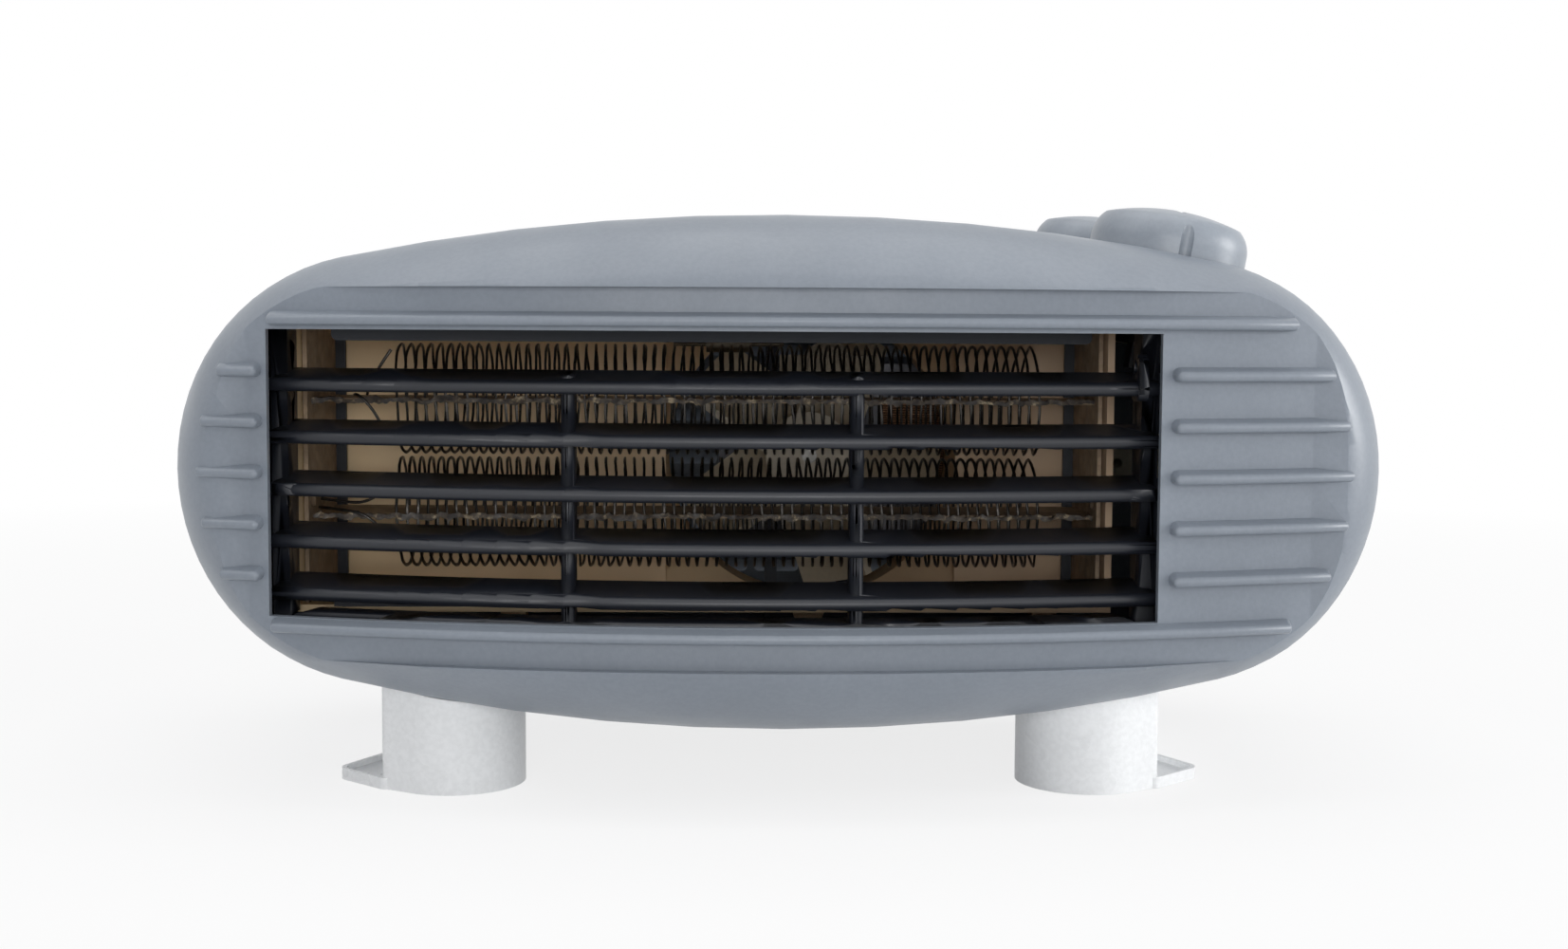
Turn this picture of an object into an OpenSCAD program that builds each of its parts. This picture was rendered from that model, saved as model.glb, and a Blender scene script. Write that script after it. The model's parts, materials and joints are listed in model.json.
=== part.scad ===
// Portable fan heater: a lens-shaped two-part housing on two feet, with a louvred
// outlet, a two-board heating element, an axial fan and two control knobs on top.
// Millimetres, +Z up, the outlet faces -Y, the origin is on the floor.

/* [Housing] */
// Overall width of the housing
body_w = 274; // [262:1:340]
// Overall height of the housing
body_h = 113; // [106:1:140]
// Depth of the housing from the brow to the back
body_d = 140; // [136:1:170]
// Rise of the long top and bottom arcs above the two round ends
crest_rise = 8.5; // [7:0.5:12]
// Wall thickness of the mouldings
wall = 2.2; // [1.8:0.1:2.6]
// Free height under the lowest point of the housing
ground_gap = 16.2; // [14:0.1:24]
// Depth of the front cover, from the brow to the split line
split_depth = 72.5; // [70:0.5:76]
// Height of the shadow groove along the split line
split_groove = 0.5; // [0.3:0.1:0.8]

/* [Front face] */
// Set-back of the brow and the chin at the ends behind their middle
brow_bow = 27; // [22:1:30]
// Set-back of the face at the ends behind its middle
face_bow = 26; // [17:1:27]
// Set-back of the face behind the brow
face_recess = 3.5; // [2.5:0.5:4.5]
// Depth over which the brow rises to its full height
crown_depth = 23; // [20:1:30]
// Rounding of the front edge, along the face
flare = 12.5; // [8:0.5:14]
// Rounding of the front edge, into the depth
flare_depth = 29; // [22:1:34]
// Rounding of the back edge
back_r = 18; // [14:1:22]
// Height of the outlet opening
opening_h = 62; // [56:1:64]
// Width of the face left of the opening
left_margin = 25.3; // [24:0.1:30]
// Width of the face right of the opening, under the controls
control_w = 57; // [55:1:64]
// Distance from the opening to the long ribs
rib_offset = 2; // [1.8:0.1:2.4]
// Distance from the long ribs to the brow
brow_gap = 7; // [6:0.5:8]
// Thickness of a rib at its nose
rib_t = 2.3; // [2:0.1:3]
// Height of a rib above the face
rib_out = 3.5; // [2.5:0.1:4]

/* [Outlet grille] */
// Number of slats
slats = 5; // [4:1:6]
// Distance between slats
slat_pitch = 11.5; // [9:0.5:12]
// Distance from the top of the opening to the first slat
first_slat = 12; // [10:0.5:13]
// Depth of a slat
slat_depth = 11.5; // [9:0.5:13]
// Rise of a slat towards the back
slat_rise = 2.5; // [1.5:0.5:4]
// Radius of the bead along a slat's front
bead_r = 1.5; // [1.1:0.05:1.6]
// Set-back of the slats behind the face
slat_setback = 6.5; // [6:0.5:9]

/* [Element] */
// Depth of the mica boards
board_d = 24; // [20:1:26]
// Free height above the upper coil
coil_clear_top = 3.5; // [3:0.5:6]
// Free height below the lower coil
coil_clear_bottom = 6.5; // [4:0.5:8]
// Gap between the two coils
coil_gap = 0.6; // [0.5:0.1:3]
// Pitch of the heating coils
coil_pitch = 2.3; // [2:0.1:4]
// Diameter of the heating wire
wire_d = 0.7; // [0.5:0.1:0.9]
// Bare length of board left of the coils
lead_in = 18; // [12:0.1:20]
// Bare length of board right of the coils
lead_out = 9.6; // [8:0.1:16]

/* [Fan and motor] */
// Distance of the fan's axis from the middle of the housing
fan_x = 8; // [0:1:12]
// Radius of the fan
fan_r = 34; // [30:0.5:38]
// Number of fan blades
blades = 5; // [4:1:7]
// Gap between the blade tips and the throat
tip_gap = 2; // [1.5:0.5:3]
// Radius of the motor shaft
shaft_r = 2; // [1.5:0.25:3]
// Radius of the motor's rotor
rotor_r = 11; // [9:0.5:12]
// Thickness of the motor's laminated core
core_t = 14; // [12:1:16]

/* [Controls] */
// Radius of a knob
knob_r = 18; // [15:0.5:19]
// Height of a knob
knob_h = 11.4; // [10:0.2:15]
// Distance of the front knob's axis behind the brow
front_knob_depth = 50; // [48:1:52]
// Distance from the front knob's axis back to the rear knob's axis
knob_pitch = 45; // [41:1:48]
// Distance of the rear knob's axis inwards from the front knob's
knob_step = 6; // [0:0.5:8]
// Radius of a control shaft
spindle_r = 3; // [2.5:0.25:3.5]

/* [Feet and cord inlet] */
// Width of a foot
foot_w = 31.5; // [28:0.5:34]
// Depth of a foot
foot_d = 78; // [70:1:84]
// Distance of a foot's outer wall from the end of the housing
foot_inset = 48.5; // [47:0.5:56]
// Shift of both feet to the left of the housing's middle
foot_shift = 2.2; // [0:0.1:4]
// Distance of a foot's front behind the brow
foot_setback = 29; // [27:1:34]
// Reach of a foot's cord ear
ear_reach = 11.2; // [10:0.2:14]
// Radius of the cord inlet's bore
inlet_r = 3.6; // [3:0.1:4.2]
// Height of the cord inlet's collar behind the housing
inlet_out = 4; // [3:0.5:6]

/* [Hidden] */
$fn = 48;

// Housing outline: two end arcs joined by two long arcs, symmetric about its middle
half_w = body_w / 2;
half_h = body_h / 2;
end_r = half_h - crest_rise;
end_cx = half_w - end_r;
arc_r = (end_cx * end_cx + half_h * half_h - end_r * end_r) / (2 * crest_rise);
arc_drop = arc_r - half_h;
stand_h = half_h + ground_gap;
y_front = -(body_d + inlet_out) / 2;
y_split = y_front + split_depth;
y_back = y_front + body_d;

// Front face
face_y = y_front + face_recess;
face_plan_r = (half_w * half_w + face_bow * face_bow) / (2 * face_bow);
face_axis_y = face_y + face_plan_r;
open_x0 = -half_w + left_margin;
open_x1 = half_w - control_w;
open_half = opening_h / 2;
long_rib_z = open_half + rib_offset;
brow_z = long_rib_z + brow_gap;
rib_pitch = long_rib_z / 3;
left_rib_inset = 9;
right_rib_inset = 11.5;
long_rib_inset = 13;
left_rib_gap = 1.4;
right_rib_gap = 2.6;
rib_foot = 1.2;
rib_lean = 0.5;

// Facets round each end and along the long arcs, outside and inside
caps = 15;
spans = 10;
inner_caps = 6;
inner_spans = 8;

// Fits and clearances: loose, seated and running
fit = 0.3;
seat = 0.05;
run = 0.08;

// Grille
slat_r = face_plan_r - slat_setback;
slat_out = 1.5;
strip_out = 1.9;
strip_in = 1.8;
strip_back = 5;
strip_d = 9;
rail_inset = 4;
lip_inset = 24;
strut_r = 1.5;
rail_t = 2.4;
rail_gap = 0.4;

// Element and duct
duct_wall = 1.6;
duct_half = open_half + 0.6;
shield_t = 0.8;
lip_h = 3;
lip_r = 1.4;
plate_t = 1;
tab_w = 10;
board_t = 0.8;
element_x0 = open_x0 + 2;
element_x1 = open_x1 - 6;
element_y = y_front + 62;
plate_d = board_d + 8;
coil_d = board_d - 2;
coil_x0 = element_x0 + lead_in;
coil_x1 = element_x1 - lead_out;
coil_turns = floor((coil_x1 - coil_x0) / coil_pitch);
coil_h = duct_half - (coil_clear_top + coil_clear_bottom + coil_gap) / 2;
board_z = (coil_h + coil_gap) / 2;
element_z = (coil_clear_bottom - coil_clear_top) / 2;
duct_y0 = slat_y(open_x0) + strip_back + strip_d + 2 * fit;
duct_y1 = element_y + plate_d / 2 + 1;
throat_r = fan_r + tip_gap;
funnel_l = 8;
throat_y = duct_y1 + duct_wall + funnel_l;
fan_w = 12;
fan_gap = 1;
throat_l = fan_w + 3;
ear_z = throat_r + duct_wall + 2;
carrier_y = throat_y + throat_l;
carrier_t = 1.5;

// Motor, along +Y behind its carrier
bracket_t = 2.5;
spacer_l = 2.6;
hub_r = 6.5;
hub_l = 3;
bush_r = 4;
front_bracket_y = carrier_y + carrier_t;
core_y = front_bracket_y + bracket_t + spacer_l;
rear_bracket_y = core_y + core_t + spacer_l;
core_w = 46;
leg_w = 16;
screw_r = 1.6;
motor_screw_z = 18;
rail_x = 9.4;
shaft_y0 = throat_y + fan_gap + 0.5;
shaft_y1 = rear_bracket_y + bracket_t + hub_l + 1.5;

// Controls, square to the housing's top at their place
control_in = 9;
mode_place = [open_x1 + control_in, front_knob_depth];
thermostat_place = [mode_place[0] - knob_step, front_knob_depth + knob_pitch];
well_d = 1.2;
knob_gap = 0.6;
knob_base = knob_gap - well_d;
knob_round = 7.5;
knob_dome_r = 48;
nut_h = 2.5;
nut_r = 6.4;
neck_r = 4.6;
spindle_in = 11.5;
neck_top = -wall - 0.9;

// Feet and inlet
foot_x = half_w - foot_inset - foot_w / 2;
foot_y = y_front + foot_setback + foot_d / 2;
foot_wall = 2.2;
foot_floor = 2.4;
post_r = 4.6;
post_dy = 22;
tail_r = 8;
front_post = [0, -post_dy];
rear_post = [6, post_dy];
ear_h = 2.6;
pilot_r = 1.3;
inlet_x = 66;
inlet_z = -24;
clamp_y = y_back - wall - 17;
clamp_w = 22;
clamp_screw_x = 8;
screw_x = 64;
screw_z = outline_z(screw_x, wall) - post_r - 1.5;
column_y = y_split - 16;
head_r = 3.5;

// Air intake in the back wall
intake_r = throat_r + 10;
intake_t = 4.5;
intake_slot = 2.2;
intake_pitch = 6;
intake_slope = 45;
intake_bar = 2;
intake_rows = floor(intake_r / intake_pitch) - 1;
shaft_gap = 1;

// ---- Housing surface ----

// Height of the outline above its middle at x, moved inwards by e
function outline_z(x, e) =
  let (cap_r = end_r - e, long_r = arc_r - e, join_x = end_cx * long_r / (arc_r - end_r))
  abs(x) <= join_x
    ? sqrt(long_r * long_r - x * x) - arc_drop
    : sqrt(max(0, cap_r * cap_r - pow(abs(x) - end_cx, 2)));

// Places across the outline from its left end to its right end
function outline_xs(e, caps, spans) =
  let (
    lean = asin(end_cx / (arc_r - end_r)),
    cap_r = end_r - e,
    join_x = end_cx * (arc_r - e) / (arc_r - end_r)
  )
  concat(
    [for (i = [0:caps - 1]) -end_cx - cap_r * cos(i * (90 - lean) / caps)],
    [for (i = [0:spans]) join_x * (2 * i / spans - 1)],
    [for (i = [caps - 1:-1:0]) end_cx + cap_r * cos(i * (90 - lean) / caps)]
  );

// One closed ring of a loft: station = [y, inset, share of the crown, share of the bow, brow]
function ring(station, caps, spans) =
  let (
    xs = outline_xs(station[1], caps, spans),
    last = len(xs) - 1,
    ys = [for (x = xs) station[0] + station[3] * brow_bow * pow(x / half_w, 2)],
    zs = [for (x = xs) let (z = outline_z(x, station[1])) z > station[4]
      ? station[4] + (z - station[4]) * station[2] : z]
  )
  concat(
    [for (i = [0:last]) [xs[i], ys[i], i == 0 || i == last ? 0 : zs[i]]],
    [for (i = [last - 1:-1:1]) [xs[i], ys[i], -zs[i]]]
  );

// A closed solid through rings of the outline
module loft(stations, caps, spans) {
  top = 2 * caps + spans;
  count = 2 * top;
  final = (len(stations) - 1) * count;
  sides = [for (j = [0:len(stations) - 2], i = [0:count - 1])
    let (a = j * count + i, b = j * count + (i + 1) % count)
    each [[a, a + count, b + count], [a, b + count, b]]];
  strips = [for (i = [0:top - 1])
    let (a = i, b = i + 1, c = (count - i - 1) % count, d = (count - i) % count)
    each [[a, b, c], [a, c, d]]];
  caps_faces = [for (s = strips) if (len([for (k = [0:2]) if (s[k] == s[(k + 1) % 3]) k]) == 0)
    each [s, [s[2] + final, s[1] + final, s[0] + final]]];
  polyhedron([for (s = stations) each ring(s, caps, spans)], concat(sides, caps_faces));
}

function crown(depth) = sqrt(1 - pow(1 - min(1, depth / crown_depth), 2));

// Stations of the front cover's skin, moved inwards by inset: an elliptic rounding, then straight back
function front_stations(inset, steps, groove) =
  concat(
    [for (i = [0:steps])
      let (a = 90 * i / steps, d = flare_depth * (1 - cos(a)), bow = 1 - (inset + d) / split_depth)
      [y_front + inset + d, inset + flare * (1 - sin(a)), crown(d), bow, brow_z - inset]],
    [
      [y_split - groove, inset, 1, 0, brow_z],
      [y_split + (inset > 0 ? 1 : 0), inset + groove, 1, 0, brow_z]
    ]
  );

// Stations of the rear shell's skin, moved inwards by inset
function rear_stations(inset, steps, groove) =
  let (round_y = y_back - back_r, r = back_r - inset)
  concat(
    [
      [y_split - (inset > 0 ? 1 : 0), inset + groove, 1, 0, brow_z],
      [y_split + groove, inset, 1, 0, brow_z]
    ],
    [for (i = [0:steps])
      let (a = 90 * i / steps)
      [round_y + r * sin(a), inset + r * (1 - cos(a)), 1, 0, brow_z]]
  );

// Place of the brow's edge and of the bare front surface at x, before its rounding
function brow_y(x) = y_front + brow_bow * pow(x / half_w, 2);
function front_y(x) = max(brow_y(x), face_axis_y - sqrt(face_plan_r * face_plan_r - x * x));

// Place of the rounded front surface of an end, at x and z
function skin_y(x, z) =
  let (
    inwards = end_r - norm([max(0, abs(x) - end_cx), z]),
    steep = max(0, 1 - inwards / flare),
    d = flare_depth * (1 - sqrt(1 - steep * steep))
  )
  max(front_y(x), brow_y(x) + d - (brow_y(x) - y_front) * d / split_depth);

module face_cylinder(r) translate([0, face_axis_y, -half_h]) cylinder(r = r, h = body_h, $fn = 300);

module in_body() translate([0, 0, stand_h]) children();

// ---- Front cover ----

module front_hollow() intersection() {
  loft(front_stations(wall, 5, 0), inner_caps, inner_spans);
  face_cylinder(face_plan_r - wall);
}

// A rib from x0 to x1: its nose follows the face, its thicker foot stands on the rounded surface
module rib(x0, x1, z, stations) hull() for (i = [0:stations]) {
  x = x0 + rib_t / 2 + (x1 - x0 - rib_t) * i / stations;
  translate([x, front_y(x) - rib_out + rib_t / 2, z]) sphere(d = rib_t, $fn = 12);
  translate([x, skin_y(x, z) + wall, z + rib_lean]) rotate([90, 0, 0])
    cylinder(d = rib_t + rib_foot, h = wall, center = true, $fn = 12);
}

module face_ribs() {
  for (k = [-2:2]) {
    z = k * rib_pitch;
    end_x = end_cx + sqrt(end_r * end_r - z * z);
    rib(-end_x + left_rib_inset, open_x0 - left_rib_gap, z, 2);
    rib(open_x1 + right_rib_gap, end_x - right_rib_inset, z, 4);
  }
  long_x = end_cx + sqrt(end_r * end_r - long_rib_z * long_rib_z) - long_rib_inset;
  for (side = [-1, 1]) rib(-long_x, long_x, side * long_rib_z, 12);
}

// Column of the housing in which a screw sits, joined to the top or bottom wall
module screw_column(x, side, y0, y1) {
  z = side * screw_z;
  translate([x, y0, z]) rotate([-90, 0, 0]) cylinder(r = post_r, h = y1 - y0, $fn = 20);
  translate([x - 1, y0, min(z, side * (outline_z(x, 0) - 1))])
    cube([2, y1 - y0, outline_z(x, 0) - 1 - screw_z]);
}

// A foot's screw: its distance outwards from the foot's middle and its depth, on one side of the housing
function post_x(side, post) = side * (foot_x + post[0]) - foot_shift;

module foot_boss(side, post)
  translate([post_x(side, post), foot_y + post[1], -outline_z(post_x(side, post), 0)])
    cylinder(r = post_r, h = wall + 9, $fn = 20);

module foot_pilot(side, post)
  translate([post_x(side, post), foot_y + post[1], -half_h - 1]) cylinder(r = pilot_r, h = 24, $fn = 16);

module front_cover() color("lightslategray") in_body() difference() {
  union() {
    difference() {
      union() {
        difference() {
          loft(front_stations(0, 9, split_groove), caps, spans);
          difference() {
            translate([-half_w, y_front - 1, -brow_z]) cube([body_w, crown_depth, 2 * brow_z]);
            face_cylinder(face_plan_r);
          }
        }
        face_ribs();
      }
      front_hollow();
      translate([open_x0, y_front - rib_out, -open_half])
        cube([open_x1 - open_x0, split_depth, opening_h]);
    }
    for (x = [-screw_x, screw_x], side = [-1, 1]) screw_column(x, side, column_y, y_split);
    control_pad(mode_place);
    intersection() {
      for (side = [-1, 1]) foot_boss(side, front_post);
      loft(front_stations(fit, 3, 0), caps, spans);
    }
  }
  for (x = [-screw_x, screw_x], side = [-1, 1]) translate([x, column_y - 1, side * screw_z])
    rotate([-90, 0, 0]) cylinder(r = pilot_r, h = 40, $fn = 16);
  for (side = [-1, 1]) foot_pilot(side, front_post);
  control_hole(mode_place);
  control_well(mode_place);
}

// ---- Rear shell ----

// Field of louvred intake slots behind the fan, sloping down towards the back so that nothing shows through
module intake_slots() for (k = [-intake_rows:intake_rows], side = [-1, 1]) {
  z = k * intake_pitch;
  reach = sqrt(pow(intake_r, 2) - z * z);
  for (span = [[intake_bar, reach / 2 - intake_bar], [reach / 2 + intake_bar, reach]])
    if (span[1] - span[0] > 2 * intake_slot)
      hull() for (x = span) translate([fan_x + side * x, y_back - intake_t / 2, z])
        rotate([-90 - intake_slope, 0, 0])
          cylinder(d = intake_slot, h = 3 * intake_t, center = true, $fn = 8);
}

// Thicker back wall round the slots, hollowed where the motor's shaft comes near it
module intake_pad() intersection() {
  difference() {
    translate([fan_x, y_back - intake_t, 0]) rotate([-90, 0, 0])
      cylinder(r = intake_r + wall, h = intake_t);
    translate([fan_x, y_split, 0]) rotate([-90, 0, 0])
      cylinder(r = hub_r, h = shaft_y1 + shaft_gap - y_split);
  }
  loft(rear_stations(fit, 4, 0), caps, spans);
}

module rear_shell() color("lightslategray") in_body() difference() {
  union() {
    difference() {
      union() {
        difference() {
          loft(rear_stations(0, 7, split_groove), caps, spans);
          loft(rear_stations(wall, 4, 0), inner_caps, inner_spans);
        }
        intake_pad();
      }
      intake_slots();
    }
    intersection() {
      union() {
        for (x = [-screw_x, screw_x], side = [-1, 1]) screw_column(x, side, y_split, y_back);
        for (side = [-1, 1]) foot_boss(side, rear_post);
        translate([inlet_x, y_back - wall - 3, inlet_z]) rotate([-90, 0, 0])
          cylinder(r = inlet_r + 6, h = wall + 2);
        clamp_saddle();
        control_pad(thermostat_place);
      }
      loft(rear_stations(fit, 4, 0), caps, spans);
    }
  }
  for (x = [-screw_x, screw_x], side = [-1, 1])
    translate([x, y_split, side * screw_z]) rotate([-90, 0, 0]) {
      translate([0, 0, -1]) cylinder(r = screw_r + fit, h = 40, $fn = 16);
      translate([0, 0, 12]) cylinder(r = head_r, h = body_d, $fn = 20);
    }
  for (side = [-1, 1]) foot_pilot(side, rear_post);
  control_hole(thermostat_place);
  control_well(thermostat_place);
  translate([inlet_x, y_back - wall - 6.5, inlet_z]) rotate([-90, 0, 0])
    cylinder(r = inlet_r + 2.2 + seat, h = 30);
  cord_groove();
}

// Ledge behind the inlet on which the cord is clamped
module clamp_saddle() translate([inlet_x - clamp_w / 2, clamp_y - 4, inlet_z - 7])
  cube([clamp_w, y_back - clamp_y, 7]);

module cord_groove() translate([inlet_x, clamp_y - 5, inlet_z]) {
  rotate([-90, 0, 0]) cylinder(r = inlet_r, h = 22, $fn = 24);
  for (x = [-clamp_screw_x, clamp_screw_x]) translate([x, 5, -8]) cylinder(r = pilot_r, h = 9, $fn = 16);
}

// ---- Outlet grille ----

// Sweeps a profile drawn at a set-back behind the slats' front along the face's bow
module along_bow(x0, x1) {
  a0 = asin(x0 / slat_r);
  translate([0, face_axis_y, 0]) rotate([0, 0, 270 + a0])
    rotate_extrude(angle = asin(x1 / slat_r) - a0, $fn = 360) children();
}

function slat_y(x) = face_axis_y - sqrt(slat_r * slat_r - x * x);

module slat(z) along_bow(open_x0 - slat_out, open_x1 + slat_out) {
  translate([slat_r - bead_r, z]) circle(r = bead_r);
  polygon([
    [slat_r - bead_r, z + bead_r], [slat_r - bead_r, z - bead_r],
    [slat_r - slat_depth, z + slat_rise], [slat_r - slat_depth, z + slat_rise + 1]
  ]);
}

// Left side of the frame: an upright strip behind the opening's edge
module frame_side(edge_x) {
  frame_h = opening_h + 2 * rail_gap + rail_t;
  translate([-strip_out, slat_y(edge_x) + strip_back, -frame_h / 2])
    cube([strip_out + strip_in, strip_d, frame_h]);
}

// Rail along the top of the frame, with a lip that meets the back of the face
module rail() for (part = [[rail_inset, 0], [lip_inset, slat_setback - wall - 2 * seat]])
  along_bow(open_x0 + part[0], open_x1 - part[0])
    translate([slat_r - slat_depth, open_half + rail_gap]) square([slat_depth + part[1], rail_t]);

module strut(x) {
  y = slat_y(x) + 4;
  translate([x, y, -open_half - 1]) cylinder(r = strut_r, h = opening_h + 2);
  translate([x - strut_r, y, -open_half - 1]) cube([2 * strut_r, 5, opening_h + 2]);
}

// Clip tab at an end of the middle slat
module clip_tab(x, z, dir) {
  y = slat_y(x);
  translate([x, y, z]) linear_extrude(2 * bead_r - 0.4, center = true)
    polygon([[0, -1], [0, 2], [dir * 14, 2], [dir * 14, 0.6], [dir * 1.5, -1.6]]);
}

module outlet_grille() color("#23262b") in_body() {
  for (i = [0:slats - 1]) slat(open_half - first_slat - i * slat_pitch);
  translate([open_x0, 0, 0]) frame_side(open_x0);
  translate([open_x1, 0, 0]) mirror([1, 0, 0]) frame_side(open_x1);
  strut(open_x0 + (open_x1 - open_x0) / 3 + 1);
  strut(open_x0 + 2 * (open_x1 - open_x0) / 3 - 1);
  rail();
  mirror([0, 0, 1]) rail();
  middle_z = open_half - first_slat - 2 * slat_pitch;
  clip_tab(open_x0 - 0.5, middle_z, 1);
  clip_tab(open_x1 + 0.5, middle_z, -1);
  loop_x = open_x1 - strip_in - 1;
  translate([loop_x, slat_y(loop_x) + 1, open_half - first_slat]) rotate([0, 90, 0]) difference() {
    hull() {
      cylinder(r = 2.6, h = 2, center = true);
      translate([-5, 1, 0]) cylinder(r = 2.6, h = 2, center = true);
      translate([0, 4, 0]) cylinder(r = 2.6, h = 2, center = true);
    }
    translate([-4.6, 1.4, 0]) cylinder(r = 1.1, h = 3, center = true);
  }
}

// ---- Feet ----

// Teardrop: a round nose in front, a flat outer side and a narrow tail behind it
module foot_outline(grow) offset(delta = grow) hull() {
  translate([0, (foot_w - foot_d) / 2]) circle(d = foot_w, $fn = 64);
  translate([-foot_w / 2 + tail_r, foot_d / 2 - tail_r]) circle(r = tail_r, $fn = 48);
  translate([-foot_w / 2 + 2, -foot_d / 2 + 8]) circle(r = 2, $fn = 32);
}

module ear_outline(grow) offset(delta = grow) hull() {
  translate([-foot_w / 2 + 1, -foot_d / 2 + 8]) circle(r = 2);
  translate([-foot_w / 2 - ear_reach + 4, -foot_d / 2 + 18]) circle(r = 4);
  translate([-foot_w / 2 + 1, -foot_d / 2 + 38]) circle(r = 2);
}

// The left foot about its own middle: the ear points to -X
module foot_body() {
  difference() {
    union() {
      linear_extrude(stand_h) foot_outline(0);
      linear_extrude(ear_h) ear_outline(0);
    }
    translate([0, 0, 1.4]) linear_extrude(ear_h) difference() {
      ear_outline(-1.1);
      foot_outline(0.01);
    }
    translate([0, 0, foot_floor]) linear_extrude(stand_h) difference() {
      foot_outline(-foot_wall);
      for (post = [front_post, rear_post]) translate([-post[0], post[1]]) circle(r = post_r);
    }
    for (post = [front_post, rear_post]) translate([-post[0], post[1], -1]) {
      cylinder(r = screw_r + 0.3, h = stand_h);
      cylinder(r = 3.5, h = 9);
    }
  }
}

module foot(side) difference() {
  translate([post_x(side, [0, 0]), foot_y, 0]) mirror([side > 0 ? 1 : 0, 0, 0]) foot_body();
  translate([0, 0, stand_h + arc_drop]) rotate([90, 0, 0])
    cylinder(r = arc_r + seat, h = 2 * body_d, center = true, $fn = 256);
}

module left_foot() color("whitesmoke") foot(-1);
module right_foot() color("whitesmoke") foot(1);

// ---- Controls ----

// Puts children on a control's axis: z = 0 on the housing's surface, +Z outwards
module at_control(place) translate([0, y_front + place[1], -arc_drop])
  rotate([0, asin(place[0] / arc_r), 0]) translate([0, 0, arc_r]) children();

module control_hole(place) at_control(place)
  translate([0, 0, -20]) cylinder(r = neck_r + fit, h = 30, $fn = 24);

// Flat seat under the housing's curved top, for the nut and for the well round the knob
module control_pad(place) at_control(place)
  translate([0, 0, neck_top]) cylinder(r = knob_r + 1.5, h = wall, $fn = 48);

// Shallow round well in which a knob turns
module control_well(place) at_control(place)
  translate([0, 0, -well_d]) cylinder(r = knob_r + knob_gap, h = 10, $fn = 64);

// Domed knob with a pointer groove over its front, hollow underneath
module knob() difference() {
  rotate_extrude() {
    square([knob_r, knob_h - knob_round - 0.6]);
    translate([0, knob_h - knob_round - 0.6]) intersection() {
      union() {
        square([knob_r - knob_round, knob_round + 1]);
        translate([knob_r - knob_round, 0]) circle(r = knob_round);
      }
      square([knob_r, knob_round + 1]);
      translate([0, knob_round + 0.6 - knob_dome_r]) circle(r = knob_dome_r, $fn = 200);
    }
  }
  rotate([0, 0, -90]) {
    translate([-3, 0, knob_h + 0.3]) rotate([0, 90, 0]) cylinder(r = 1.4, h = knob_r + 3);
    translate([knob_r + 0.3, 0, -1]) cylinder(r = 1.5, h = knob_h + 2);
  }
  translate([0, 0, -1]) cylinder(r = knob_r - 2.2, h = 5);
  translate([0, 0, -1]) cylinder(r = spindle_r + seat, h = knob_h - 1);
}

// Sleeve under the knob that takes the spindle
module knob_with_sleeve() {
  knob();
  difference() {
    cylinder(r = spindle_r + 2.4, h = 6);
    translate([0, 0, -1]) cylinder(r = spindle_r + seat, h = 8);
  }
}

module spindle() difference() {
  spindle_z = neck_top - spindle_in;
  translate([0, 0, spindle_z]) cylinder(r = spindle_r, h = knob_base + knob_h - 2 - spindle_z);
  translate([spindle_r - 0.8, -spindle_r, knob_base + 1]) cube([spindle_r, 2 * spindle_r, knob_h]);
}

// Threaded neck that passes through the housing, and the nut under it
module control_neck() difference() {
  translate([0, 0, neck_top - nut_h - 1]) cylinder(r = neck_r, h = nut_h + 1.2 - neck_top - well_d);
  translate([0, 0, neck_top - nut_h - 2]) cylinder(r = spindle_r + run, h = nut_h + 6);
}

module control_nut() difference() {
  translate([0, 0, neck_top - nut_h]) cylinder(r = nut_r, h = nut_h, $fn = 6);
  translate([0, 0, neck_top - nut_h - 1]) cylinder(r = neck_r + seat, h = nut_h + 2);
}

module mode_knob() color("slategray") in_body() at_control(mode_place)
  translate([0, 0, knob_base]) knob_with_sleeve();
module thermostat_knob() color("slategray") in_body() at_control(thermostat_place)
  translate([0, 0, knob_base]) knob_with_sleeve();
module mode_spindle() color("silver") in_body() at_control(mode_place) spindle();
module thermostat_spindle() color("silver") in_body() at_control(thermostat_place) spindle();

module control_nuts() color("silver") in_body() {
  at_control(mode_place) control_nut();
  at_control(thermostat_place) control_nut();
}

// Rotary switch: the box lies to the outer side of its spindle, clear of the air duct
module mode_switch() color("#2a2a2c") in_body() at_control(mode_place) {
  top = neck_top - nut_h;
  control_neck();
  difference() {
    translate([-6, -11, top - 15]) cube([19, 22, 15]);
    translate([0, 0, top - 11]) cylinder(r = spindle_r + run, h = 14);
  }
  for (x = [-4, 3, 10]) translate([x - 0.4, -3, top - 21]) cube([0.8, 6, 7]);
}

// Thermostat: a ceramic body with a bimetal arm and its contact
module thermostat() color("#b9b2a3") in_body() at_control(thermostat_place) {
  top = neck_top - nut_h;
  control_neck();
  difference() {
    translate([0, 0, top - 10]) cylinder(r = 11, h = 10);
    translate([0, 0, top - 11]) cylinder(r = spindle_r + run, h = 14);
  }
  translate([-4, -6, top - 18]) cube([8, 12, 8.5]);
  translate([-16, -3.5, top - 14]) cube([30, 7, 0.8]);
  translate([-16, -3.5, top - 14]) cube([6, 7, 5]);
  translate([-12, -3.5, top - 10]) cube([2, 7, 2]);
}

// ---- Element ----

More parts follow.
